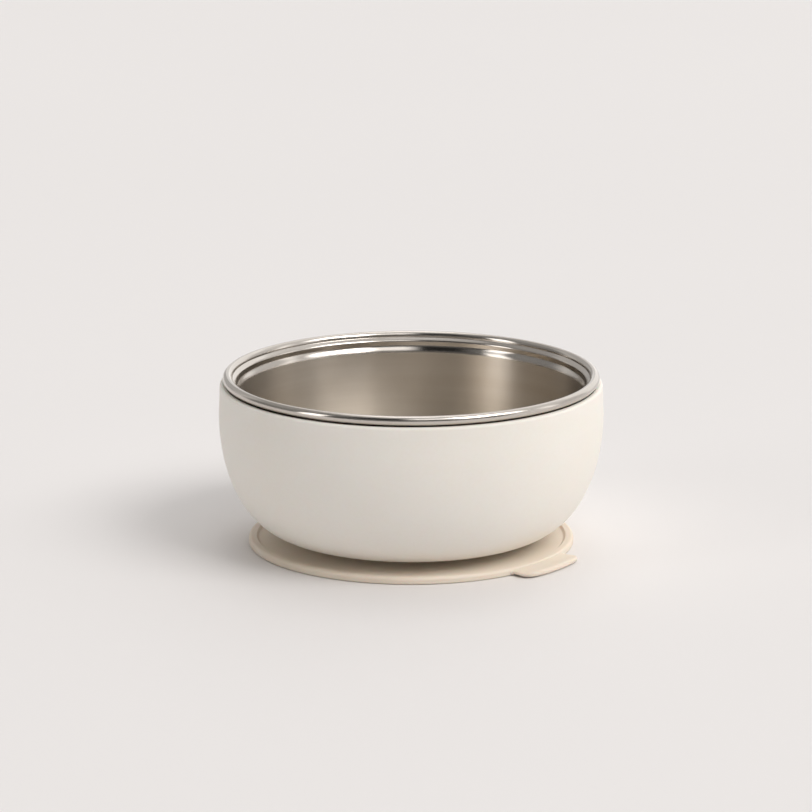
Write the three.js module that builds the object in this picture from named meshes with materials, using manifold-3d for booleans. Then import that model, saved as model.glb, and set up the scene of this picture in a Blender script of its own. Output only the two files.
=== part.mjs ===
// A baby's suction bowl: a steel food bowl that lifts out of a moulded shell, which stands on a
// silicone suction cup. Millimetres, +Z up. The origin is on the bowl's axis, on the table, and
// +X points at the suction cup's release tab.
import * as THREE from "three";
import { mergeVertices } from "three/addons/utils/BufferGeometryUtils.js";
import Module from "manifold-3d";

const wasm = await Module();
wasm.setup();

// Driving dimensions.
const gap = 0.3; // between pieces that touch
const turnSegments = 48; // facets in one turn of the large pieces
const hubSegments = 32; // facets in one turn of the small ones

const shell = {
  topZ: 54.15,
  rimRadius: 63.2, // outside, at the top
  waistZ: 44.2, // height of the widest point
  flankCentre: 39.4, // centre of the rounded flank, from the axis
  flankWidth: 24.2, // half axes of that flank
  flankHeight: 40.1,
  flankPower: 2.07, // 2 would be a true ellipse
  wall: 2.4,
  lipRound: 0.9,
  recessRadius: 29.6, // pocket under the floor that takes the suction cup's hub
  recessZ: 8,
  floorTopZ: 10.3,
};

const liner = {
  sheet: 0.6, // steel thickness; the other sizes are on the middle of the sheet
  floorZ: 14,
  cornerRadius: 16,
  wallTopRadius: 57.2,
  draft: THREE.MathUtils.degToRad(3),
  // Two soft steps that widen the mouth for a lid.
  lowStep: { fromZ: 50.7, toZ: 53.6, rise: 0.95 },
  highStep: { fromZ: 54.1, toZ: 55.9, rise: 1.25 },
  beadRadius: 1.25,
  beadCentreZ: 56,
  beadEnd: THREE.MathUtils.degToRad(-100),
};

const gasket = { bottomZ: 45.2, topZ: 50.4, bodyOuter: 59.6, finOuter: 60.9, finThick: 1 };

const cup = {
  radius: 54,
  lipHeight: 2.3,
  lipWidth: 3,
  contactInner: 49.5, // the lip lies flat on the table from here outwards
  dishZ: 1.5, // top of the thin web beside the lip
  shoulderRadius: 33.6, // the shell stands on this shoulder
  hubRadius: 29.2,
  hubTopZ: 7.7,
  holeRadius: 9.2,
};

const retainer = {
  flangeRadius: 16,
  flangeBottomZ: 2.9,
  flangeTopZ: 4.9,
  stemRadius: 8.9,
  boreRadius: 5,
  barbRadius: 10.2,
  barbZ: 10.6,
  tipZ: 12.4,
  slotWidth: 2.4,
  slotBottomZ: 6,
};

const pin = { radius: 4.7, headRadius: 7.5, headThick: 1, tipZ: 11.8, tipChamfer: 0.8 };

const tab = { length: 7, halfAngle: THREE.MathUtils.degToRad(14), thick: 2, bottomZ: 0.4, corner: 4.5 };

// Outline helpers. An outline is a list of (radius, height) points.
const at = (radius, z) => new THREE.Vector2(radius, z);

function arc(centreRadius, centreZ, radius, from, to, steps) {
  const points = [];
  for (let i = 0; i <= steps; i++) {
    const angle = from + ((to - from) * i) / steps;
    points.push(at(centreRadius + radius * Math.cos(angle), centreZ + radius * Math.sin(angle)));
  }
  return points;
}

// The shell's flank, from its foot (angle 0) to its waist (a quarter turn), grown inwards by inset.
function flank(inset, steps) {
  const points = [];
  for (let i = 0; i <= steps; i++) {
    const angle = ((i / steps) * Math.PI) / 2;
    const across = Math.sin(angle) ** (2 / shell.flankPower);
    const down = Math.cos(angle) ** (2 / shell.flankPower);
    points.push(
      at(
        shell.flankCentre + (shell.flankWidth - inset) * across,
        shell.waistZ - (shell.flankHeight - inset) * down,
      ),
    );
  }
  return points;
}

// A sheet of even thickness along a path: one side out, the other side back, with mitred bends.
function sheetOutline(path, thickness) {
  const normals = path.slice(1).map((point, i) => {
    const along = point.clone().sub(path[i]).normalize();
    return at(along.y, -along.x);
  });
  const side = (sign) =>
    path.map((point, i) => {
      const before = normals[Math.max(i - 1, 0)];
      const after = normals[Math.min(i, normals.length - 1)];
      const across = before.clone().add(after).divideScalar(1 + before.dot(after));
      return point.clone().addScaledVector(across, (sign * thickness) / 2);
    });
  return [...side(1), ...side(-1).reverse()];
}

// Turns an outline about the Z axis. The outline is closed on itself unless it ends on the axis.
function turned(outline, segments) {
  const onAxis = outline[0].x === 0;
  const points = onAxis ? outline : [...outline, outline[0].clone()];
  return new THREE.LatheGeometry(points, segments).rotateX(Math.PI / 2);
}

function solidOf(geometry) {
  const bare = geometry.clone();
  bare.deleteAttribute("normal");
  bare.deleteAttribute("uv");
  const merged = mergeVertices(bare, 1e-4);
  return new wasm.Manifold(
    new wasm.Mesh({
      numProp: 3,
      vertProperties: new Float32Array(merged.attributes.position.array),
      triVerts: new Uint32Array(merged.index.array),
    }),
  );
}

function geometryOf(solid) {
  const mesh = solid.getMesh();
  const geometry = new THREE.BufferGeometry();
  geometry.setAttribute("position", new THREE.BufferAttribute(mesh.vertProperties, 3));
  geometry.setIndex(new THREE.BufferAttribute(mesh.triVerts, 1));
  geometry.computeVertexNormals();
  return geometry;
}

// How far a step has widened the mouth at height z: an eased climb from 0 to its rise.
function widening(step, z) {
  return step.rise * THREE.MathUtils.smoothstep(z, step.fromZ, step.toZ);
}

// The food bowl: floor, rounded corner, wall, two steps and a rolled bead in one sheet.
function steelLiner() {
  const quarter = Math.PI / 2;
  const cornerZ = liner.floorZ + liner.cornerRadius;
  const drafted = Math.tan(liner.draft) * (liner.lowStep.fromZ - cornerZ);
  const cornerCentre = liner.wallTopRadius - drafted - liner.cornerRadius;
  const steps = [liner.lowStep, liner.highStep].flatMap((step) => {
    const points = [];
    for (let i = 0; i <= 4; i++) {
      const z = step.fromZ + ((step.toZ - step.fromZ) * i) / 4;
      const wide = widening(liner.lowStep, z) + widening(liner.highStep, z);
      points.push(at(liner.wallTopRadius + wide, z));
    }
    return points;
  });
  const beadInner = liner.wallTopRadius + liner.lowStep.rise + liner.highStep.rise;
  const path = [
    at(0, liner.floorZ),
    ...arc(cornerCentre, cornerZ, liner.cornerRadius, -quarter, -liner.draft, 6),
    ...steps,
    ...arc(
      beadInner + liner.beadRadius,
      liner.beadCentreZ,
      liner.beadRadius,
      2 * quarter,
      liner.beadEnd,
      8,
    ),
  ];
  const outline = sheetOutline(path, liner.sheet);
  outline[0].x = 0;
  outline[outline.length - 1].x = 0;
  return turned(outline, turnSegments);
}

// The silicone ring under the lower step. Its two fins grip the shell's bore.
function linerGasket() {
  const inner = liner.wallTopRadius + liner.sheet / 2 + gap;
  const fin = (z) => [
    at(gasket.bodyOuter, z - gasket.finThick / 2),
    at(gasket.finOuter, z + gasket.finThick / 4),
    at(gasket.finOuter, z + gasket.finThick / 2),
    at(gasket.bodyOuter, z + gasket.finThick),
  ];
  const outline = [
    at(inner, gasket.bottomZ),
    at(gasket.bodyOuter - 0.5, gasket.bottomZ),
    ...fin(gasket.bottomZ + 1.2 * gasket.finThick),
    ...fin(gasket.bottomZ + 3.6 * gasket.finThick),
    at(gasket.bodyOuter - 0.5, gasket.topZ),
    at(inner, gasket.topZ),
  ];
  return turned(outline, turnSegments);
}

// The moulded shell: rounded outside, even wall, and a pocket under its floor for the cup's hub.
function outerShell() {
  const innerRadius = shell.flankCentre + shell.flankWidth - shell.wall;
  const pocketWall = shell.recessRadius + shell.wall;
  const outer = flank(0, 10);
  const inner = flank(shell.wall, 8).reverse();
  const outline = [
    at(cup.holeRadius, shell.recessZ),
    at(shell.recessRadius, shell.recessZ),
    at(shell.recessRadius, outer[0].y + 0.4),
    at(shell.recessRadius + 0.4, outer[0].y),
    ...outer,
    at(shell.rimRadius, shell.topZ - shell.lipRound),
    ...arc(
      shell.rimRadius - shell.lipRound,
      shell.topZ - shell.lipRound,
      shell.lipRound,
      0,
      Math.PI / 2,
      3,
    ).slice(1),
    at(innerRadius + 0.3, shell.topZ),
    at(innerRadius, shell.topZ - 0.3),
    ...inner,
    at(pocketWall, inner[inner.length - 1].y),
    at(pocketWall, shell.floorTopZ - 0.8),
    at(pocketWall - 0.8, shell.floorTopZ),
    at(cup.holeRadius, shell.floorTopZ),
  ];
  return turned(outline, turnSegments);
}

// The silicone cup: flat lip, thin web, a shoulder that carries the shell, and a thick hub.
function suctionCup() {
  const flangePocket = retainer.flangeRadius + 0.5;
  const shoulderZ = shell.waistZ - shell.flankHeight - gap;
  const lipRound = 0.9;
  const outline = [
    at(cup.contactInner, 0),
    ...arc(cup.radius - lipRound, lipRound, lipRound, -Math.PI / 2, 0, 2),
    ...arc(cup.radius - lipRound, cup.lipHeight - lipRound, lipRound, 0, Math.PI / 2, 2),
    at(cup.radius - cup.lipWidth + 0.4, cup.lipHeight),
    at(cup.radius - cup.lipWidth, cup.lipHeight - 0.4),
    at(cup.radius - cup.lipWidth - 0.4, cup.dishZ),
    at(42, 1.7),
    at(cup.shoulderRadius + 2, 2.2),
    at(cup.shoulderRadius, shoulderZ - 0.5),
    at(cup.shoulderRadius - 0.5, shoulderZ),
    at(cup.hubRadius, shoulderZ),
    at(cup.hubRadius, cup.hubTopZ - 0.6),
    at(cup.hubRadius - 0.6, cup.hubTopZ),
    at(cup.holeRadius, cup.hubTopZ),
    at(cup.holeRadius, retainer.flangeTopZ + gap),
    at(flangePocket, retainer.flangeTopZ + gap),
    at(flangePocket, retainer.flangeBottomZ),
    at(26, 2.5),
    at(36, 1.1),
    at(45, 0.45),
  ];
  return turned(outline, turnSegments);
}

// A flanged sleeve with four barbed legs. It is pushed up through the hub and hooks over the floor.
function cupRetainer() {
  const headPocket = pin.headRadius + gap;
  const headPocketZ = retainer.flangeBottomZ + pin.headThick + gap;
  const body = solidOf(
    turned(
      [
        at(headPocket, retainer.flangeBottomZ),
        at(retainer.flangeRadius - 0.4, retainer.flangeBottomZ),
        at(retainer.flangeRadius, retainer.flangeBottomZ + 0.4),
        at(retainer.flangeRadius, retainer.flangeTopZ),
        at(retainer.stemRadius, retainer.flangeTopZ),
        at(retainer.stemRadius, retainer.barbZ),
        at(retainer.barbRadius, retainer.barbZ),
        at(retainer.barbRadius, retainer.barbZ + 0.5),
        at(retainer.stemRadius - 0.6, retainer.tipZ),
        at(retainer.boreRadius, retainer.tipZ),
        at(retainer.boreRadius, headPocketZ),
        at(headPocket, headPocketZ),
      ],
      hubSegments,
    ),
  );
  const reach = 2 * retainer.barbRadius + 2;
  const slotHeight = retainer.tipZ + 1 - retainer.slotBottomZ;
  const slot = new THREE.BoxGeometry(reach, retainer.slotWidth, slotHeight);
  slot.translate(0, 0, retainer.slotBottomZ + slotHeight / 2);
  const crossSlot = slot.clone().rotateZ(Math.PI / 2);
  return geometryOf(body.subtract(solidOf(slot)).subtract(solidOf(crossSlot)));
}

// The headed pin that fills the sleeve, so that its legs can't spring inwards.
function lockingPin() {
  const headTopZ = retainer.flangeBottomZ + pin.headThick;
  return turned(
    [
      at(0, retainer.flangeBottomZ),
      at(pin.headRadius - 0.3, retainer.flangeBottomZ),
      at(pin.headRadius, retainer.flangeBottomZ + 0.3),
      at(pin.headRadius, headTopZ),
      at(pin.radius, headTopZ),
      at(pin.radius, pin.tipZ - pin.tipChamfer),
      at(pin.radius - pin.tipChamfer, pin.tipZ),
      at(0, pin.tipZ),
    ],
    hubSegments,
  );
}

// The lug that a finger lifts to let air in. Its root follows the cup's round edge.
function releaseTab() {
  const root = cup.radius + gap;
  const tip = cup.radius + tab.length;
  const sideY = root * Math.sin(tab.halfAngle);
  const rootX = root * Math.cos(tab.halfAngle);
  const cornerX = tip - tab.corner;
  const shape = new THREE.Shape();
  shape.moveTo(rootX, -sideY);
  shape.lineTo(cornerX, -sideY);
  shape.quadraticCurveTo(tip - 0.8, -sideY, tip, -sideY + tab.corner + 1);
  shape.lineTo(tip, sideY - tab.corner - 1);
  shape.quadraticCurveTo(tip - 0.8, sideY, cornerX, sideY);
  shape.lineTo(rootX, sideY);
  shape.absarc(0, 0, root, tab.halfAngle, -tab.halfAngle, true);
  const bevel = 0.4;
  return new THREE.ExtrudeGeometry(shape, {
    depth: tab.thick - 2 * bevel,
    curveSegments: 5,
    bevelEnabled: true,
    bevelThickness: bevel,
    bevelSize: bevel,
    bevelOffset: -bevel,
    bevelSegments: 1,
  }).translate(0, 0, tab.bottomZ + bevel);
}

const steel = new THREE.MeshStandardMaterial({ color: 0xb9b1a7, roughness: 0.28, metalness: 1 });
const cream = new THREE.MeshStandardMaterial({ color: 0xe6ded2, roughness: 0.6, metalness: 0 });
const silicone = new THREE.MeshStandardMaterial({ color: 0xdccfbd, roughness: 0.7, metalness: 0 });
const clearSilicone = new THREE.MeshStandardMaterial({
  color: 0xe8e6e1,
  roughness: 0.5,
  metalness: 0,
});

const bowl = new THREE.Group();

function add(name, geometry, material) {
  const mesh = new THREE.Mesh(geometry, material);
  mesh.name = name;
  bowl.add(mesh);
}

add("steel_liner", steelLiner(), steel);
add("liner_gasket", linerGasket(), clearSilicone);
add("outer_shell", outerShell(), cream);
add("suction_cup", suctionCup(), silicone);
add("release_tab", releaseTab(), silicone);
add("cup_retainer", cupRetainer(), cream);
add("locking_pin", lockingPin(), cream);

export default bowl;
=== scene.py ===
import math

import bpy
import numpy as np
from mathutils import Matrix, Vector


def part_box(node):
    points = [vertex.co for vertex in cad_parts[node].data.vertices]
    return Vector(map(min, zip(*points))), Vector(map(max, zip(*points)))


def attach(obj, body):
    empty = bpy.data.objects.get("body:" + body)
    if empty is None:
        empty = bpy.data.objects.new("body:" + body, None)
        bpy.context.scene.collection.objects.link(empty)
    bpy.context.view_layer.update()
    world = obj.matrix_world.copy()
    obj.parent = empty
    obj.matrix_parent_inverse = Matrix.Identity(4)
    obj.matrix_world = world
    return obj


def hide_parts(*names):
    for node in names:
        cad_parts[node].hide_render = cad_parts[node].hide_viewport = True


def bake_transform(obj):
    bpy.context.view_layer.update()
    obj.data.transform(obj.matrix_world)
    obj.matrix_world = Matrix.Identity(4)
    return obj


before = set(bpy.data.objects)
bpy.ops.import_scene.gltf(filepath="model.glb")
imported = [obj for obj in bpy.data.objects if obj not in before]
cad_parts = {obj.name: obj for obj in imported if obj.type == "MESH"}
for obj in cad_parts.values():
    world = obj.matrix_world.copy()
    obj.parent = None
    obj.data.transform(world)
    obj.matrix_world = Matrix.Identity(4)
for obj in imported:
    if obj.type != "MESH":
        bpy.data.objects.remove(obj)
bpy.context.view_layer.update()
print("frame loaded:", len(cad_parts), "nodes")

mm = 0.001  # shapes are worked out in millimetres, and an outline is rows of (radius, height)
straight = 88  # a corner whose half angle is past this many degrees gets no fillet
filletStep = 9  # degrees between the points of a fillet


def reach(node):
    # A round node's outer radius, lowest point and highest point, in millimetres.
    low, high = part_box(node)
    return max(high.x, high.y) / mm, low.z / mm, high.z / mm


def arc(centre, radius, start, end, step):
    # centre + radius (cos a, sin a), for a from start to end in steps of about step degrees.
    count = max(2, math.ceil(abs(end - start) / step) + 1)
    angle = np.radians(np.linspace(start, end, count))
    return np.array(centre) + radius * np.column_stack((np.cos(angle), np.sin(angle)))


def filleted(corners):
    # A closed outline whose corners (radius, height, fillet) are rounded with tangent arcs. An arc's
    # centre lies fillet / sin(half the corner's angle) inwards. An arc takes at most half a side.
    corner = np.array(corners, float)
    rows = []
    for here, before, after in zip(corner, np.roll(corner, 1, 0), np.roll(corner, -1, 0)):
        point, fillet = here[:2], here[2]
        toBefore = before[:2] - point
        toAfter = after[:2] - point
        longest = 0.49 * min(np.linalg.norm(toBefore), np.linalg.norm(toAfter))
        toBefore /= np.linalg.norm(toBefore)
        toAfter /= np.linalg.norm(toAfter)
        half = math.acos(np.clip(toBefore @ toAfter, -1, 1)) / 2
        if fillet <= 0 or half > math.radians(straight):
            rows.append(point[None])
            continue
        fillet = min(fillet, longest * math.tan(half))
        inwards = (toBefore + toAfter) / np.linalg.norm(toBefore + toAfter)
        centre = point + inwards * fillet / math.sin(half)
        first = point + toBefore * fillet / math.tan(half) - centre
        last = point + toAfter * fillet / math.tan(half) - centre
        start = math.degrees(math.atan2(first[1], first[0]))
        sweep = math.degrees(math.atan2(last[1], last[0])) - start
        sweep = (sweep + 180) % 360 - 180
        rows.append(arc(centre, fillet, start, start + sweep, filletStep))
    return np.vstack(rows)


def held(outline, closed=True, margin=0.12, shortest=0.48):
    # Adds a point a margin inside each end of every stretch longer than the shortest, which keeps
    # straight stretches flat under smooth shading.
    following = np.roll(outline, -1, 0)
    run = following - outline
    length = np.linalg.norm(run, axis=1)
    split = length > shortest
    if not closed:
        split[-1] = False
    inset = run * (margin / np.maximum(length, margin))[:, None]
    rows = np.stack((outline, outline + inset, following - inset), axis=1)
    return rows[np.column_stack((np.ones(len(outline), bool), split, split))]


def sheetSides(path, thickness):
    # The two sides of a sheet along an open path: path +- thickness / 2 along its mitred normals,
    # (a + b) / (1 + a . b) for the normals a and b before and after a point.
    along = np.diff(path, axis=0)
    along /= np.linalg.norm(along, axis=1)[:, None]
    normal = np.column_stack((along[:, 1], -along[:, 0]))
    before = np.vstack((normal[:1], normal))
    after = np.vstack((normal, normal[-1:]))
    mitre = (before + after) / (1 + np.sum(before * after, axis=1))[:, None]
    return path + mitre * thickness / 2, path - mitre * thickness / 2


def makePiece(name, points, faces, material, attributes=None):
    # points in millimetres, faces as lists of point numbers, attributes as one number per point.
    mesh = bpy.data.meshes.new(name)
    mesh.from_pydata((points * mm).tolist(), [], faces)
    mesh.polygons.foreach_set("use_smooth", np.ones(len(mesh.polygons), bool))
    for label, values in (attributes or {}).items():
        attribute = mesh.attributes.new(label, "FLOAT", "POINT")
        attribute.data.foreach_set("value", np.asarray(values, np.float32))
    mesh.materials.append(material)
    mesh.validate()
    piece = bpy.data.objects.new(name, mesh)
    bpy.context.scene.collection.objects.link(piece)
    return piece


def turned(name, outline, material, segments, attributes=None):
    # (r cos a, r sin a, z) for every outline point (r, z) and every angle a in one turn.
    # An outline that starts and ends on the axis gets one point at each pole.
    following = np.roll(outline, -1, 0)
    area = np.sum(outline[:, 0] * following[:, 1] - following[:, 0] * outline[:, 1])
    order = np.arange(len(outline)) if area > 0 else np.arange(len(outline))[::-1]
    outline = outline[order]
    labels = {key: np.asarray(value)[order] for key, value in (attributes or {}).items()}
    onAxis = outline[0, 0] < 1e-6
    kept = slice(1, -1) if onAxis else slice(None)
    ring = outline[kept]
    angle = 2 * np.pi * np.arange(segments) / segments
    points = np.stack(
        (
            ring[:, :1] * np.cos(angle),
            ring[:, :1] * np.sin(angle),
            np.repeat(ring[:, 1:], segments, 1),
        ),
        axis=-1,
    ).reshape(-1, 3)
    rows = len(ring) - 1 if onAxis else len(ring)
    i, j = np.meshgrid(np.arange(rows), np.arange(segments), indexing="ij")
    up, across = (i + 1) % len(ring), (j + 1) % segments
    quads = np.stack(
        (i * segments + j, i * segments + across, up * segments + across, up * segments + j),
        axis=-1,
    ).reshape(-1, 4)
    faces = quads.tolist()
    values = {key: np.repeat(value[kept], segments) for key, value in labels.items()}
    if onAxis:
        first, last = len(points), len(points) + 1
        points = np.vstack((points, [[0, 0, outline[0, 1]], [0, 0, outline[-1, 1]]]))
        step = np.arange(segments)
        turn = (step + 1) % segments
        top = (len(ring) - 1) * segments
        faces += np.column_stack((np.full(segments, first), turn, step)).tolist()
        faces += np.column_stack((np.full(segments, last), top + step, top + turn)).tolist()
        values = {key: np.append(value, labels[key][[0, -1]]) for key, value in values.items()}
    return makePiece(name, points, faces, material, values)


class Wire:
    # One output socket. Arithmetic on it adds Math nodes beside its own node.
    def __init__(self, paint, socket):
        self.paint = paint
        self.socket = socket

    def __add__(self, other):
        return self.paint.maths("ADD", self, other)

    def __sub__(self, other):
        return self.paint.maths("SUBTRACT", self, other)

    def __rsub__(self, other):
        return self.paint.maths("SUBTRACT", other, self)

    def __mul__(self, other):
        return self.paint.maths("MULTIPLY", self, other)

    __radd__ = __add__
    __rmul__ = __mul__


class Paint:
    # The nodes of a material or of the world.
    def __init__(self, owner):
        self.owner = owner
        owner.use_nodes = True
        self.tree = owner.node_tree
        self.tree.nodes.clear()

    def node(self, kind, settings=None, output=0, **sockets):
        # Makes one node: its settings first, then the values or wires of its input sockets. A
        # socket is given by its name, with _ for a space, or by its number, as i0, i1 and so on.
        node = self.tree.nodes.new("ShaderNode" + kind)
        for key, value in (settings or {}).items():
            setattr(node, key, value)
        for key, value in sockets.items():
            numbered = key[0] == "i" and key[1:].isdigit()
            socket = node.inputs[int(key[1:]) if numbered else key.replace("_", " ")]
            if isinstance(value, Wire):
                self.tree.links.new(value.socket, socket)
            else:
                socket.default_value = value
        return Wire(self, node.outputs[output]) if len(node.outputs) else node

    def maths(self, operation, *values):
        inputs = {f"i{i}": value for i, value in enumerate(values)}
        return self.node("Math", {"operation": operation}, **inputs)

    def vector(self, operation, *values, output=0):
        inputs = {f"i{i}": value for i, value in enumerate(values)}
        return self.node("VectorMath", {"operation": operation}, output, **inputs)

    def place(self):
        return self.node("TexCoord", output="Object")

    def noise(self, at, scale, detail, roughness):
        return self.node("TexNoise", Vector=at, Scale=scale, Detail=detail, Roughness=roughness)

    def between(self, value, low, high):
        # 0 at low and 1 at high, eased between them.
        settings = {"interpolation_type": "SMOOTHSTEP"}
        return self.node("MapRange", settings, i0=value, i1=low, i2=high)

    def blendColours(self, share, first, second):
        return self.node("Mix", {"data_type": "RGBA"}, output=2, i0=share, i6=first, i7=second)

    def bump(self, height, distance, strength):
        return self.node("Bump", Height=height, Distance=distance, Strength=strength)

    def finish(self, **sockets):
        surface = self.node("BsdfPrincipled", **sockets)
        self.node("OutputMaterial", Surface=surface)
        return self.owner


def shade(red, green, blue):
    # A colour given as 0 to 255 on screen, as the linear numbers that shaders use.
    value = np.array((red, green, blue)) / 255
    linear = np.where(value <= 0.04045, value / 12.92, ((value + 0.055) / 1.055) ** 2.4)
    return (*linear.tolist(), 1)


steelBowl = {
    "sheet": 0.6,  # thickness
    "curl": 1.55,  # outside radius of the rolled rim
    "curlEnd": -165,  # where the curl's hem stops, in degrees
    "wallTop": 57.2,  # radius of the wall below its steps
    "draft": 3,  # lean of the wall, in degrees
    "corner": 16,  # radius between floor and wall
    # Two soft steps below the rim: from and to below the curl's centre, and how much each widens.
    "lowStep": (5.3, 2.8, 0.95),
    "highStep": (1.6, 0.25, 1.25),
    "stepRows": 46,
    # The satin turns to polish from this far below the low step, over this height.
    "polishBelow": 1,
    "polishOver": 2,
    "segments": 240,
}

steelFinish = {
    # Spinning lines: how many to the metre, and how soon they change along the turn.
    "fine": (9000, 1.2),
    "coarse": (1500, 0.8),
    "streak": (260, 0.5),
    "cloud": 38,
    "satin": 0.30,  # least roughness of the wall
    "polish": 0.13,  # least roughness of the mouth
    "wall": (shade(207, 198, 186), shade(213, 205, 194)),
    "mouth": (shade(201, 194, 186), shade(207, 201, 194)),
    "stretch": 0.88,  # how far reflections are drawn out across the lines
    "depth": 0.00004,
}


def spunSteel():
    # Spinning lines are noise over (cos a * wander, sin a * wander, length along the outline *
    # pitch), for the turn a, so they run round the axis.
    look = steelFinish
    paint = Paint(bpy.data.materials.new("spunSteel"))
    place = paint.place()
    lengthwise = paint.node("Attribute", {"attribute_name": "along"}, output="Fac")
    rim = paint.node("Attribute", {"attribute_name": "rim"}, output="Fac")
    outwards = paint.vector("NORMALIZE", paint.vector("MULTIPLY", place, (1, 1, 0)))
    turnX = paint.node("SeparateXYZ", output=0, Vector=outwards)
    turnY = paint.node("SeparateXYZ", output=1, Vector=outwards)

    def lines(pitch, wander):
        at = paint.node("CombineXYZ", X=turnX * wander, Y=turnY * wander, Z=lengthwise * pitch)
        return paint.noise(at, 1, 2, 0.6)

    fine = lines(*look["fine"])
    coarse = lines(*look["coarse"])
    streak = lines(*look["streak"])
    cloud = paint.noise(place, look["cloud"], 3, 0.55)
    satin = look["satin"] + 0.08 * fine + 0.07 * coarse + 0.05 * cloud
    polished = look["polish"] + 0.04 * coarse + 0.04 * cloud
    tone = paint.between(streak * 0.6 + cloud * 0.4, 0.35, 0.68)
    wall = paint.blendColours(tone, *look["wall"])
    mouth = paint.blendColours(tone, *look["mouth"])
    height = (fine * 0.5 + coarse * 0.9 + streak * 0.4) * (1 - rim * 0.8)
    return paint.finish(
        Base_Color=paint.blendColours(rim, wall, mouth),
        Metallic=1,
        Roughness=satin * (1 - rim) + polished * rim,
        Anisotropic=look["stretch"],
        Anisotropic_Rotation=0.25,
        Normal=paint.bump(height, look["depth"], 0.4),
    )


def makeSteelBowl():
    # One sheet along a turned path: floor, corner arc, leaning wall, two eased steps, rolled rim.
    size = steelBowl
    radius, bottomZ, topZ = reach("steel_liner")
    half = size["sheet"] / 2
    floorZ = bottomZ + half
    curlCentre = (radius - size["curl"], topZ - size["curl"])

    def widening(z, step):
        # An eased climb, t * t * (3 - 2 t), from 0 to the step's rise.
        low, high, rise = curlCentre[1] - step[0], curlCentre[1] - step[1], step[2]
        t = np.clip((z - low) / (high - low), 0, 1)
        return rise * t * t * (3 - 2 * t)

    z = np.linspace(curlCentre[1] - size["lowStep"][0], curlCentre[1] - 0.05, size["stepRows"])
    steps = size["wallTop"] + widening(z, size["lowStep"]) + widening(z, size["highStep"])
    cornerZ = floorZ + size["corner"]
    lean = math.tan(math.radians(size["draft"])) * (z[0] - cornerZ)
    cornerX = size["wallTop"] - size["corner"] - lean
    path = np.vstack(
        (
            [[0, floorZ], [cornerX * 0.33, floorZ], [cornerX * 0.66, floorZ]],
            arc((cornerX, cornerZ), size["corner"], -90, -size["draft"], 3),
            np.column_stack((steps, z)),
            arc(curlCentre, size["curl"] - half, 180, size["curlEnd"], 7),
        )
    )
    path = held(path, closed=False, margin=0.1, shortest=2.5)
    outside, inside = sheetSides(path, size["sheet"])
    # The hem is a half round from the sheet's one side to its other.
    across = (outside[-1] - inside[-1]) / 2
    onwards = np.array((-across[1], across[0]))
    angle = np.radians(np.arange(30, 180, 30))[:, None]
    hem = (outside[-1] + inside[-1]) / 2 + across * np.cos(angle) + onwards * np.sin(angle)
    outline = np.vstack((outside, hem, inside[::-1]))
    outline[0, 0] = 0
    outline[-1, 0] = 0
    lengths = np.linalg.norm(np.diff(outline, axis=0), axis=1)
    along = np.append(0, np.cumsum(lengths)) * mm
    # 0 on the satin wall, 1 on the polished mouth and rim.
    polishFrom = z[0] - size["polishBelow"]
    rim = np.clip((outline[:, 1] - polishFrom) / size["polishOver"], 0, 1)
    attributes = {"along": along, "rim": rim}
    piece = turned("steelBowl", outline, spunSteel(), size["segments"], attributes)
    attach(piece, "liner")
    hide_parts("steel_liner")
    print("steel bowl made")


gasketRing = {
    "body": 1.8,  # width of the ring between the steel and its fins
    "grip": 0.25,  # how far it reaches under the steel's step
    "finReach": 1.3,
    "finThick": 1,
    "finRoots": (0.7, 2.9),  # heights above the ring's foot, in fin thicknesses
    "segments": 240,
    "tints": (shade(222, 218, 210), shade(233, 230, 224)),
}


def milkySilicone():
    paint = Paint(bpy.data.materials.new("milkySilicone"))
    place = paint.place()
    cloud = paint.noise(place, 60, 3, 0.5)
    dust = paint.noise(place, 1400, 2, 0.6)
    return paint.finish(
        Base_Color=paint.blendColours(cloud, *gasketRing["tints"]),
        Roughness=0.42 + 0.18 * dust,
        Subsurface_Weight=0.35,
        Subsurface_Scale=0.004,
        Normal=paint.bump(dust * 0.6 + cloud * 0.4, 0.00003, 0.4),
    )


def makeGasketRing():
    size = gasketRing
    outer, bottomZ, topZ = reach("liner_gasket")
    body = outer - size["finReach"]
    inner = body - size["body"] - size["grip"]
    thick = size["finThick"]

    def fin(root):
        # Four corners of a fin that tapers outwards and turns up.
        z = bottomZ + root * thick
        return [
            (body, z, 0.3),
            (outer, z + 0.6 * thick, 0.25),
            (outer, z + 0.95 * thick, 0.2),
            (body, z + 1.3 * thick, 0.3),
        ]

    corners = [
        (inner, bottomZ, 0.3),
        (body, bottomZ, 0.4),
        *fin(size["finRoots"][0]),
        *fin(size["finRoots"][1]),
        (body, topZ, 0.4),
        (inner, topZ, 0.3),
    ]
    outline = held(filleted(corners))
    piece = turned("gasketRing", outline, milkySilicone(), size["segments"])
    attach(piece, "liner")
    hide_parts("liner_gasket")
    print("gasket made")


shellBody = {
    "widest": 63.6,  # radius at the waist
    "waistZ": 44.2,
    "flankCentre": 39.4,  # radius where the flank meets the flat bottom
    "flankPower": 2.07,  # squareness of the flank's curve
    "wall": 2.4,
    "rimTaper": 0.4,  # how much narrower the lip is than the waist
    "lipRound": 0.95,
    "pocketRadius": 29.6,  # the pocket that takes the cup's hub
    "pocketZ": 8,
    "floorTopZ": 10.3,
    "hole": 9.2,
    # The lip's outside leans in from this far below its top, by this much, with this round.
    "leanFrom": 3,
    "lean": 0.12,
    "leanRound": 6,
    "boreRound": 0.35,
    "bossRound": 0.9,
    "holeRound": 0.25,
    "pocketRound": 0.5,
    "outerRows": 72,
    "innerRows": 56,
    "segments": 240,
    "tints": (shade(242, 237, 228), shade(245, 241, 234)),
}


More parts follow.
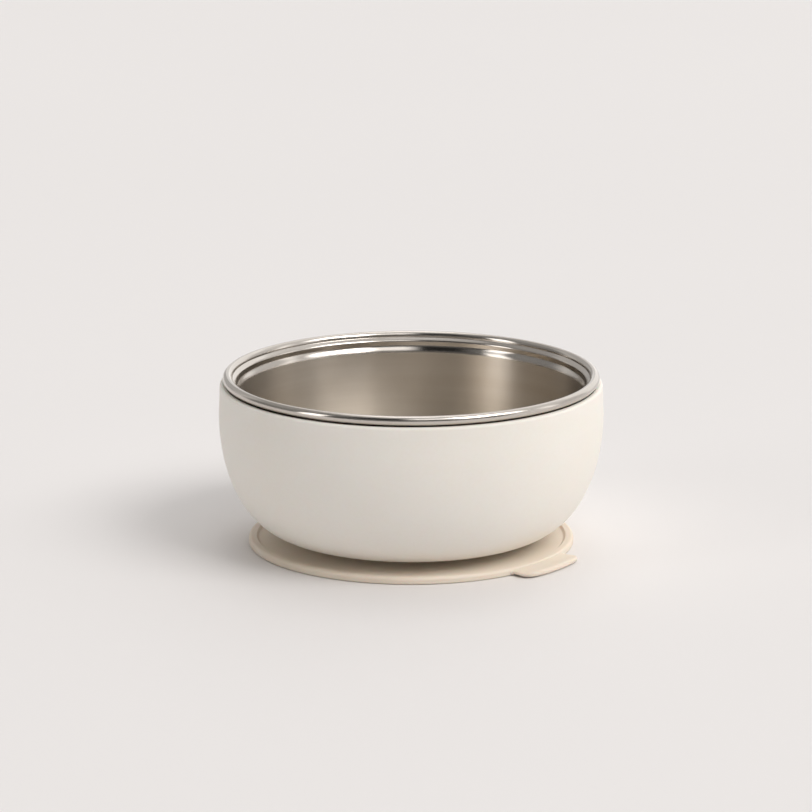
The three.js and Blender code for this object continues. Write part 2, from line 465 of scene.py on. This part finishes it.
def creamPlastic(name, warm, bright):
    paint = Paint(bpy.data.materials.new(name))
    place = paint.place()
    cloud = paint.noise(place, 22, 3, 0.5)
    speckle = paint.noise(place, 900, 2, 0.6)
    grain = paint.noise(place, 3200, 2, 0.55)
    tint = paint.blendColours(paint.between(cloud * 0.7 + speckle * 0.3, 0.3, 0.7), warm, bright)
    return paint.finish(
        Base_Color=tint,
        Roughness=0.47 + 0.10 * speckle + 0.06 * cloud,
        Subsurface_Weight=0.08,
        Subsurface_Scale=0.002,
        Normal=paint.bump(grain * 0.7 + speckle * 0.3, 0.00003, 0.5),
    )


def flank(inset, count):
    # (centre + half width * sin a ** (2 / power), waist - half height * cos a ** (2 / power)),
    # for a from 0 at the bottom to a quarter turn at the waist.
    size = shellBody
    bottomZ = reach("outer_shell")[1]
    angle = np.linspace(0, np.pi / 2, count)
    across = np.sin(angle) ** (2 / size["flankPower"])
    down = np.cos(angle) ** (2 / size["flankPower"])
    width = size["widest"] - size["flankCentre"] - inset
    height = size["waistZ"] - bottomZ - inset
    return np.column_stack((size["flankCentre"] + width * across, size["waistZ"] - height * down))


def makeShellBody():
    # Turned outline: outer flank, lip, bore, inner flank, then the pocket for the cup's hub.
    size = shellBody
    _, bottomZ, topZ = reach("outer_shell")
    bore = size["widest"] - size["wall"]
    rim = size["widest"] - size["rimTaper"]
    outer = flank(0, size["outerRows"])
    inner = flank(size["wall"], size["innerRows"])[::-1]
    pocketWall = size["pocketRadius"] + size["wall"]
    outline = np.vstack(
        (
            filleted(
                [
                    (outer[-1, 0], outer[-1, 1], 0),
                    (rim + size["lean"], topZ - size["leanFrom"], size["leanRound"]),
                    (rim, topZ, size["lipRound"]),
                    (bore, topZ, size["boreRound"]),
                    (inner[0, 0], inner[0, 1], 0),
                ]
            ),
            inner[1:],
            filleted(
                [
                    (inner[-1, 0] - 1, inner[-1, 1], 0),
                    (pocketWall, inner[-1, 1], 0.6),
                    (pocketWall, size["floorTopZ"], size["bossRound"]),
                    (size["hole"], size["floorTopZ"], size["holeRound"]),
                    (size["hole"], size["pocketZ"], size["holeRound"]),
                    (size["pocketRadius"], size["pocketZ"], size["pocketRound"]),
                    (size["pocketRadius"], bottomZ, size["pocketRound"]),
                    (outer[0, 0] - 1, outer[0, 1], 0),
                ]
            ),
            outer[:-1],
        )
    )
    material = creamPlastic("creamShell", *size["tints"])
    outline = held(outline, margin=0.15, shortest=2.5)
    piece = turned("shellBody", outline, material, size["segments"])
    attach(piece, "shell")
    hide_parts("outer_shell")
    print("shell made")


cupDisc = {
    "lipTop": 2.3,
    "lipWidth": 3,
    "contactInner": 49.5,  # the disc touches the table outside this radius
    "webTop": 1.5,
    "webBend": 44,
    "shoulder": 33.6,
    "hub": 29.2,
    "hole": 9.2,
    # The hollow underneath: radius, height and fillet.
    "hollow": ((27, 2.45, 8), (37, 1.05, 12), (45, 0.42, 5)),
    "room": 0.4,  # round the retainer's flange
    "flangeThick": 2,
    "segments": 288,
    "tints": (shade(229, 215, 197), shade(235, 222, 206)),
}


def creamSilicone():
    paint = Paint(bpy.data.materials.new("creamSilicone"))
    place = paint.place()
    cloud = paint.noise(place, 30, 3, 0.5)
    speckle = paint.noise(place, 1500, 2, 0.6)
    return paint.finish(
        Base_Color=paint.blendColours(paint.between(cloud, 0.3, 0.7), *cupDisc["tints"]),
        Roughness=0.5 + 0.14 * speckle + 0.06 * cloud,
        Subsurface_Weight=0.15,
        Subsurface_Scale=0.003,
        Sheen_Weight=0.12,
        Sheen_Roughness=0.5,
        Normal=paint.bump(speckle, 0.00003, 0.4),
    )


def makeCupDisc(material):
    # Turned outline: contact ring, raised lip, thin web, shoulder, hub, bore, hollow underneath.
    size = cupDisc
    radius, _, topZ = reach("suction_cup")
    flangeRadius, flangeZ, _ = reach("cup_retainer")
    shellBottom = reach("outer_shell")[1]
    pocket = flangeRadius + size["room"]
    flangeTop = flangeZ + size["flangeThick"]
    lipIn = radius - size["lipWidth"]
    corners = [
        (size["contactInner"], 0, 2),
        (radius, 0, 0.5),
        (radius, size["lipTop"], 1.0),
        (lipIn + 0.35, size["lipTop"], 0.45),
        (lipIn - 0.35, size["webTop"], 0.45),
        (size["webBend"], size["webTop"] + 0.1, 8),
        (size["shoulder"] + 2.5, 2.25, 4),
        (size["shoulder"] + 0.4, shellBottom, 0.8),
        (size["hub"], shellBottom - 0.02, 0.2),
        (size["hub"], topZ, 0.9),
        (size["hole"], topZ, 0.3),
        (size["hole"], flangeTop, 0.2),
        (pocket, flangeTop, 0.2),
        (pocket, flangeZ, 0.4),
        *size["hollow"],
    ]
    piece = turned("cupDisc", held(filleted(corners)), material, size["segments"])
    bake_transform(piece)
    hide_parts("suction_cup")
    print("suction cup made")


tabLug = {
    "root": 51.6,  # inner end, buried in the cup's lip
    "halfTurn": 14.4,  # degrees
    "corner": 4.2,
    "rootFillet": 1.6,
    "edge": 0.9,  # length over which its thickness rounds off at the tip
    "power": 4,  # squareness of its section
    "halfThick": 0.96,
    "waist": 0.2,  # how much thinner it is between root and bead
    "middleZ": 0.98,
    "lift": 0.06,  # how much its tip rises
    "rows": 56,
    "around": 96,
}


def makeTabLug(material):
    # Sections from root to tip, bent round the cup: (rho cos b, rho sin b, middle + half
    # thickness * v), with b = half width * u / the lip's radius. Each section (u, v) is a
    # superellipse, (cos t ** (2 / n), sin t ** (2 / n)) with their signs kept.
    size = tabLug
    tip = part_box("release_tab")[1].x / mm
    lipEdge = reach("suction_cup")[0]
    # rho crowds towards both ends.
    share = (1 - np.cos(np.linspace(0, np.pi, size["rows"]))) / 2
    rho = size["root"] + (tip - size["root"]) * share
    fromTip = tip - rho
    # Its half width loses a quarter round at the tip's corners and gains one at the root.
    cut = np.clip(1 - fromTip / size["corner"], 0, 1)
    flare = np.clip((lipEdge + size["rootFillet"] - rho) / size["rootFillet"], 0, 1)
    halfWidth = (
        np.radians(size["halfTurn"]) * lipEdge
        - size["corner"] * (1 - np.sqrt(1 - cut**2)) * 0.96
        + size["rootFillet"] * (1 - np.sqrt(1 - flare**2)) * 0.9
    )
    edge = np.clip(1 - fromTip / size["edge"], 0, 1)
    rise = np.clip((rho - lipEdge) / (tip - lipEdge), 0, 1)
    # A waist in its thickness leaves a bead for the fingertip at its end.
    waist = size["waist"] * np.sin(np.pi * np.clip(rise * 1.25, 0, 1))
    halfThick = (size["halfThick"] - waist) * np.sqrt(1 - edge**2)
    middle = size["middleZ"] + size["lift"] * rise**2
    t = np.linspace(0, 2 * np.pi, size["around"], endpoint=False)
    wide = np.sign(np.cos(t)) * np.abs(np.cos(t)) ** (2 / size["power"])
    high = np.sign(np.sin(t)) * np.abs(np.sin(t)) ** (2 / size["power"])
    angle = halfWidth[:, None] * wide / lipEdge
    points = np.stack(
        (
            rho[:, None] * np.cos(angle),
            rho[:, None] * np.sin(angle),
            middle[:, None] + halfThick[:, None] * high,
        ),
        axis=-1,
    ).reshape(-1, 3)
    count = len(t)
    i, j = np.meshgrid(np.arange(len(rho) - 1), np.arange(count), indexing="ij")
    after = (j + 1) % count
    near, far = i * count, (i + 1) * count
    quads = np.stack((near + j, near + after, far + after, far + j), -1)
    faces = quads.reshape(-1, 4).tolist() + [list(range(count))[::-1]]
    piece = makePiece("tabLug", points, faces, material)
    # The last section is a line, so its two sides are welded.
    weld = piece.modifiers.new("closeTip", "WELD")
    weld.merge_threshold = 0.00001
    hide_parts("release_tab")
    print("release tab made")
    return piece


sleeve = {
    "flangeTopZ": 4.9,
    "stem": 8.9,
    "bore": 5,
    "barb": 10.2,
    "barbZ": 10.6,
    "slot": 2.4,  # width between the legs
    "slotZ": 6,
    "headRoom": 0.3,  # round the pin's head
    "headDepth": 1.3,
    "segments": 192,
    "legSteps": 24,
    "tints": (shade(222, 213, 203), shade(230, 222, 213)),
}


def makeSleeve(material):
    # A turned flange with four legs. A leg's outline goes round from its own start angle,
    # asin(half the slot / radius), to a quarter turn less that, so the slots' sides are parallel.
    size = sleeve
    radius, bottomZ, topZ = reach("cup_retainer")
    headRadius = reach("locking_pin")[0] + size["headRoom"]
    headZ = bottomZ + size["headDepth"]
    corners = [
        (headRadius, bottomZ, 0.15),
        (radius, bottomZ, 0.5),
        (radius, size["flangeTopZ"], 0.3),
        (size["stem"], size["flangeTopZ"], 0.2),
        (size["stem"], size["slotZ"] + 0.2, 0),
        (size["bore"], size["slotZ"] + 0.2, 0),
        (size["bore"], headZ, 0.1),
        (headRadius, headZ, 0.2),
    ]
    flange = turned("sleeveFlange", held(filleted(corners)), material, size["segments"])
    leg = filleted(
        [
            (size["bore"], size["slotZ"], 0),
            (size["stem"], size["slotZ"], 0),
            (size["stem"], size["barbZ"], 0.15),
            (size["barb"], size["barbZ"], 0.12),
            (size["barb"], size["barbZ"] + 0.5, 0.25),
            (size["stem"] - 0.6, topZ, 0.3),
            (size["bore"], topZ, 0.3),
        ]
    )
    steps = size["legSteps"]
    row = steps + 1
    count = len(leg)
    start = np.arcsin(size["slot"] / 2 / leg[:, 0])[:, None]
    share = np.linspace(0, 1, row)
    i, j = np.meshgrid(np.arange(count), np.arange(steps), indexing="ij")
    here, up = i * row + j, (i + 1) % count * row + j
    quads = np.stack((here, here + 1, up + 1, up), -1).reshape(-1, 4)
    firstEnd = np.arange(count) * row
    lastEnd = firstEnd[::-1] + steps
    points, faces = [], []
    for quarter in range(4):
        angle = quarter * np.pi / 2 + start + (np.pi / 2 - 2 * start) * share
        across, height = leg[:, :1], np.repeat(leg[:, 1:], row, 1)
        grid = np.stack((across * np.cos(angle), across * np.sin(angle), height), -1)
        points.append(grid.reshape(-1, 3))
        base = quarter * count * row
        faces += (quads + base).tolist()
        faces.append((firstEnd + base).tolist())
        faces.append((lastEnd + base).tolist())
    legs = makePiece("sleeveLegs", np.vstack(points), faces, material)
    legs.data.set_sharp_from_angle(angle=math.radians(50))
    for piece in (flange, legs):
        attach(piece, "shell")
        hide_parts("cup_retainer")


lockingPin = {"headThick": 1, "shank": 4.7, "tip": 0.8, "segments": 144}


def makePin(material):
    # Turned outline of a headed pin with a tapered tip.
    size = lockingPin
    radius, bottomZ, topZ = reach("locking_pin")
    headTop = bottomZ + size["headThick"]
    shank, tip = size["shank"], size["tip"]
    outline = filleted(
        [
            (0, bottomZ, 0),
            (radius, bottomZ, 0.35),
            (radius, headTop, 0.15),
            (shank, headTop, 0.3),
            (shank, topZ - tip, 0.2),
            (shank - tip, topZ, 0.3),
            (0, topZ, 0),
        ]
    )
    piece = turned("lockingPin", held(outline, closed=False), material, size["segments"])
    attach(piece, "shell")
    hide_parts("locking_pin")
    print("retainer made")


# Angles in degrees, lengths in metres, the lens in millimetres.
view = {
    "azimuth": 38,
    "elevation": 15.584,
    "distance": 1.5,
    "aimHeight": 0.0459,
    "aimLeft": 0.0017,
    "lens": 199.5,
}

studio = {
    # Each soft box: turn from the camera towards its right, half width, height above the table and
    # half height, all in degrees, then brightness.
    "softBoxes": (
        (58, 24, 47, 14, 5.6),  # the key light, on the right
        (-63, 8, 18, 18, 2.3),  # a strip on the left, for the bright band on the inner wall
        (0, 400, 82, 18, 0.55),  # overhead
        (180, 32, 68, 12, 1.3),
        (-135, 40, 48, 15, 0.4),
        (-70, 26, 48, 15, 0.2),
        (24, 26, 50, 13, 1.6),
        (112, 25, 48, 15, 0.8),
        (165, 28, 48, 15, 1.0),
        (-145, 25, 14, 20, 0.5),
        (-95, 35, 14, 20, 0.25),
        (0, 50, 14, 20, 0.12),  # the dark side of the room
        (80, 18, 12, 18, 0.8),
        (110, 22, 14, 20, 0.7),
        (152, 20, 14, 20, 1.1),
        (180, 10, 14, 20, 0.8),
    ),
    "strength": 1.04,
    "colour": (1.0, 0.985, 0.97),
    "backdrop": shade(238, 234, 231),  # the tone of the lit table, so that no horizon shows
    "tableHalf": 12000,
    "tableDrop": 0.1,
    "tableTints": (shade(229, 226, 225), shade(232, 229, 228)),
}


def makeStage():
    paint = Paint(bpy.data.materials.new("paleTable"))
    place = paint.place()
    cloud = paint.noise(place, 3, 2, 0.5)
    tint = paint.blendColours(cloud, *studio["tableTints"])
    material = paint.finish(Base_Color=tint, Roughness=0.6 + 0.1 * cloud)
    square = np.array(((-1, -1, 0), (1, -1, 0), (1, 1, 0), (-1, 1, 0)))
    points = square * studio["tableHalf"] - (0, 0, studio["tableDrop"])
    floor = makePiece("floor", points, [[0, 1, 2, 3]], material)


def makeWorld():
    # Each soft box is a patch of sky: brightness * ease(turn from its middle) * ease(height from
    # its middle).
    world = bpy.data.worlds.new("studio")
    bpy.context.scene.world = world
    paint = Paint(world)
    direction = paint.node("TexCoord", output="Generated")
    height = paint.maths("ARCSINE", paint.node("SeparateXYZ", output=2, Vector=direction))
    radians = math.radians

    def along(a):
        # How far the direction points along the level line at angle a.
        return paint.vector("DOT_PRODUCT", direction, (math.cos(a), math.sin(a), 0), output=1)

    total = 0
    for turn, halfWidth, middle, halfHeight, brightness in studio["softBoxes"]:
        a = radians(view["azimuth"] + turn)
        aside = paint.maths("ABSOLUTE", paint.maths("ARCTAN2", along(a), along(a - math.pi / 2)))
        above = paint.maths("ABSOLUTE", height - radians(middle))
        inTurn = paint.between(aside, radians(halfWidth * 1.35), radians(halfWidth * 0.65))
        inHeight = paint.between(above, radians(halfHeight * 1.2), radians(halfHeight * 0.8))
        total = inTurn * inHeight * brightness + total
    strength = total * studio["strength"]
    light = paint.node("Background", Color=(*studio["colour"], 1), Strength=strength)
    backdrop = paint.node("Background", Color=studio["backdrop"], Strength=1)
    seen = paint.node("LightPath", output="Is Camera Ray")
    surface = paint.node("MixShader", i0=seen, i1=light, i2=backdrop)
    paint.node("OutputWorld", Surface=surface)


def makeCamera():
    # distance * (sin a cos e, -cos a cos e, sin e), for azimuth a and elevation e, facing its aim.
    a, e = math.radians(view["azimuth"]), math.radians(view["elevation"])
    outwards = np.array((math.sin(a) * math.cos(e), -math.cos(a) * math.cos(e), math.sin(e)))
    place = outwards * view["distance"]
    left = np.array((-math.cos(a), -math.sin(a), 0)) * view["aimLeft"]
    aim = left + (0, 0, view["aimHeight"])
    towards = aim - place
    data = bpy.data.cameras.new("camera")
    data.lens = view["lens"]
    data.sensor_width = 36
    data.clip_end = 50
    camera = bpy.data.objects.new("camera", data)
    camera.location = place
    pitch = math.atan2(towards[2], math.hypot(towards[0], towards[1]))
    yaw = math.atan2(-towards[0], towards[1])
    camera.rotation_euler = (math.pi / 2 + pitch, 0, yaw)
    bpy.context.scene.collection.objects.link(camera)
    bpy.context.scene.camera = camera


makeSteelBowl()
makeGasketRing()
makeShellBody()
cupMaterial = creamSilicone()
makeCupDisc(cupMaterial)
tabPiece = makeTabLug(cupMaterial)
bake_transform(tabPiece)
sleeveMaterial = creamPlastic("creamSleeve", *sleeve["tints"])
makeSleeve(sleeveMaterial)
makePin(sleeveMaterial)
makeStage()
makeWorld()
makeCamera()
bpy.context.scene.view_settings.view_transform = "Standard"
print("table, lights and camera ready")
